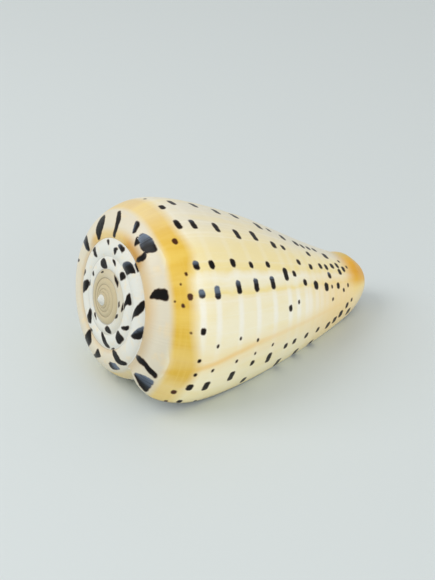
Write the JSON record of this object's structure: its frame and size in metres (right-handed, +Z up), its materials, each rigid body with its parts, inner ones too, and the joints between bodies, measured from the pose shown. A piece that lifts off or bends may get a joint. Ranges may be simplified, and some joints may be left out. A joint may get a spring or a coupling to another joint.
{
  "type": "cone shell",
  "caption": "Large cone-shaped seashell lying on its side: low spire, rounded shoulder, long narrow mouth underneath, cream body with rows of dark dashes.",
  "frame": {"origin": "middle of the footprint of the shell as it lies on its side, at the ground", "axes": "+X from the spire towards the front tip along the ground, +Z up; the mouth and its lip face down and towards -Y"},
  "size_m": [0.1006, 0.0632, 0.0566],
  "materials": {
    "shell": "polished natural shell, cream and yellow with dark brown dashes and spire blotches"
  },
  "bodies": {
    "root": {"cone_shell": "shell"}
  },
  "joints": []
}
